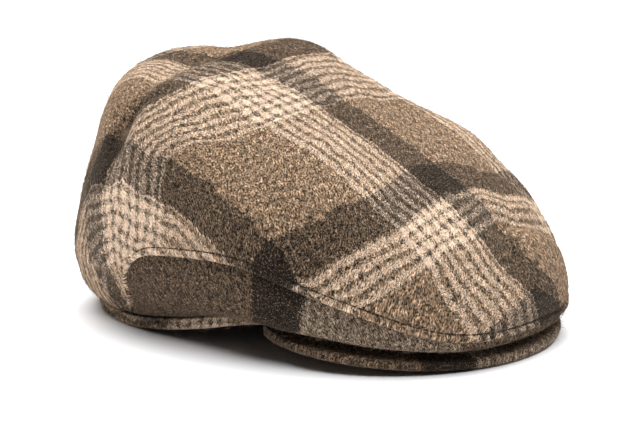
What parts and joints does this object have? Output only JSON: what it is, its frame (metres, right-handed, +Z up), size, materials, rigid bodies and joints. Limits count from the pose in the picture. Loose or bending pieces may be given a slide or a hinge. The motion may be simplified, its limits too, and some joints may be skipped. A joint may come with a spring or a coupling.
{
  "type": "flat cap",
  "caption": "Soft wool flat cap in a dark, brown and cream check, low in front over a short stiff peak, with its head opening below.",
  "frame": {"origin": "middle of the bounding box in plan, on the floor that the cap rests on", "axes": "+X to the wearer's left, +Y to the back of the head, +Z up; the peak points to -Y"},
  "size_m": [0.1967, 0.2519, 0.133],
  "materials": {
    "crown_cloth": "fuzzy checked wool",
    "band_cloth": "fuzzy checked wool, mostly its dark stripe",
    "rim_cloth": "fuzzy checked wool",
    "peak_cloth": "fuzzy checked wool over a stiff board"
  },
  "bodies": {
    "root": {"crown": "crown_cloth", "front_band": "band_cloth", "rim_band": "rim_cloth", "peak": "peak_cloth"}
  },
  "joints": []
}
